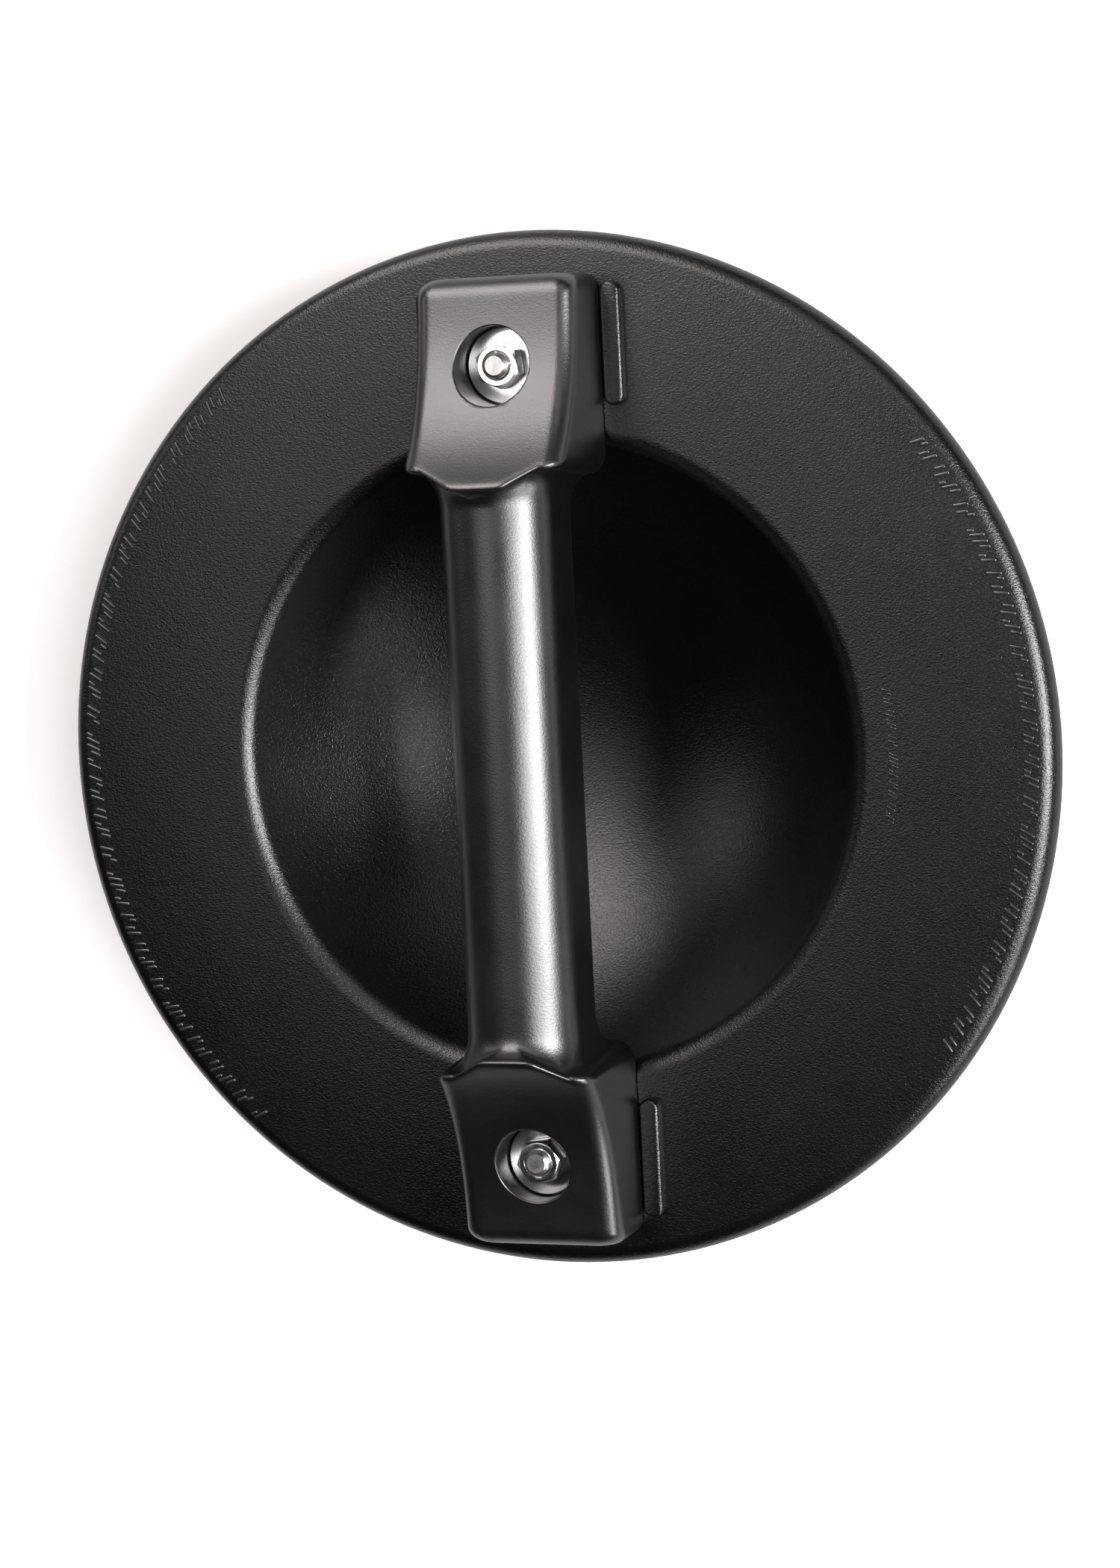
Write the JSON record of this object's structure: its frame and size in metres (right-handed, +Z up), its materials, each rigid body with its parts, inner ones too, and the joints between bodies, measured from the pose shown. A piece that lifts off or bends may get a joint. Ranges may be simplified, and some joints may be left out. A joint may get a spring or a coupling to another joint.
{
  "type": "buckler shield",
  "caption": "Round moulded training buckler with a hollow domed boss, a flat flange with a beaded rim, and a moulded grip bolted across its back.",
  "frame": {"origin": "centre of the flat spot under the dome, at the bottom of the box round the part", "axes": "+Z up, from the front of the dome to the side with the handle; +Y along the handle, to its upper end in the picture; +X to the right in the picture"},
  "size_m": [0.336, 0.336, 0.1143],
  "materials": {
    "shield_plastic": "black moulded polypropylene with a fine leather-like grain",
    "handle_plastic": "black moulded polypropylene with a very fine grain, satin",
    "plated_bolt": "bright zinc plate, sheared end",
    "plated_washer": "bright zinc plate",
    "plated_nut": "bright zinc plate"
  },
  "bodies": {
    "root": {"shield_body": "shield_plastic", "handle": "handle_plastic", "bolt_upper": "plated_bolt", "washer_upper": "plated_washer", "nut_upper": "plated_nut", "bolt_lower": "plated_bolt", "washer_lower": "plated_washer", "nut_lower": "plated_nut"}
  },
  "joints": []
}
